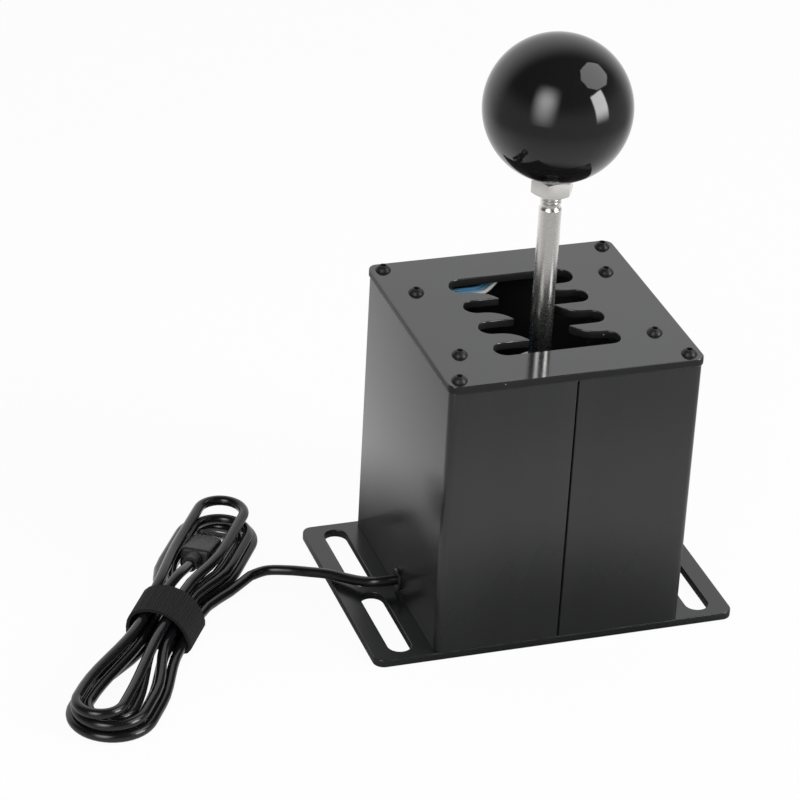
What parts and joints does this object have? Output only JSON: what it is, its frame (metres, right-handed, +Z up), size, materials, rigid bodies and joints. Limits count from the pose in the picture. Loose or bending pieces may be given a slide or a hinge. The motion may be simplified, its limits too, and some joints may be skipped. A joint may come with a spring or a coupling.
{
  "type": "gear shifter",
  "caption": "Desk-mounted H-pattern gear shifter for sim racing: slotted base, black box, gated top plate, gimballed steel lever with ball knob, and a tied USB lead.",
  "frame": {"origin": "bottom of the base plate, under the middle of the box", "axes": "+X across the box to the right, +Y to the back, +Z up along the lever"},
  "size_m": [0.2497, 0.1329, 0.2193],
  "materials": {
    "black_coat": "fine satin black powder coat",
    "black_plate": "semi-gloss black coat",
    "black_steel": "black oxide",
    "green_board": "solder mask",
    "blue_board": "solder mask",
    "chip": "moulded epoxy",
    "brass": "turned",
    "bronze": "sintered",
    "steel": "zinc plated",
    "stainless": "drawn and turned",
    "aluminium": "milled",
    "white_plastic": "moulded",
    "black_rubber": "moulded",
    "lead_jacket": "glossy extruded jacket",
    "blue_wire": "extruded insulation",
    "black_gloss": "polished",
    "strap": "woven hook and loop tape",
    "plug_plastic": "moulded"
  },
  "bodies": {
    "housing": {"base_plate": "black_coat", "left_shell": "black_coat", "right_shell": "black_coat", "gate_plate": "black_plate", "corner_screws": "black_steel", "board_screws": "black_steel", "base_screws": "black_steel", "left_sensor_board": "green_board", "right_sensor_board": "green_board", "hall_sensors": "chip", "board_standoffs": "brass", "standoff_screws": "steel", "left_bearing_block": "aluminium", "right_bearing_block": "aluminium", "block_screws": "black_steel", "trunnion_bushes": "bronze", "centring_springs": "steel", "spring_posts": "steel", "controller_board": "blue_board", "controller_chips": "chip", "board_spacers": "white_plastic", "controller_screws": "steel", "cable_bush": "black_rubber", "inner_cable": "lead_jacket", "cable_saddle": "white_plastic", "saddle_screw": "steel", "link_wires_blue": "blue_wire", "link_wires_white": "white_plastic", "controller_wires": "blue_wire", "usb_cable": "lead_jacket", "usb_cable_hank": "lead_jacket", "cable_tie": "strap", "usb_plug_grip": "plug_plastic", "usb_plug_shell": "steel"},
    "yoke": {"select_yoke": "aluminium", "trunnion_pins": "steel", "shift_axle": "steel", "axle_nut": "steel", "friction_washers": "white_plastic"},
    "lever": {"lever_hub": "aluminium", "hub_bushes": "bronze", "hub_screws": "black_steel", "lever_rod": "stainless", "magnet_collar": "aluminium", "magnets": "steel", "jam_nut": "stainless", "knob_insert": "brass", "knob": "black_gloss"}
  },
  "joints": [
    {"name": "select_tilt", "type": "hinge", "parent": "housing", "child": "yoke", "pos_m": [0, -0.0084, 0.026], "axis": [-1, 0, 0], "range_deg": [-10.8, 21], "stiffness_Nm_per_rad": 2, "deforming": ["centring_springs"]},
    {"name": "shift_tilt", "type": "hinge", "parent": "yoke", "child": "lever", "pos_m": [0, -0.0084, 0.026], "axis": [0, 1, 0], "range_deg": [-11.5, 11.5]}
  ]
}
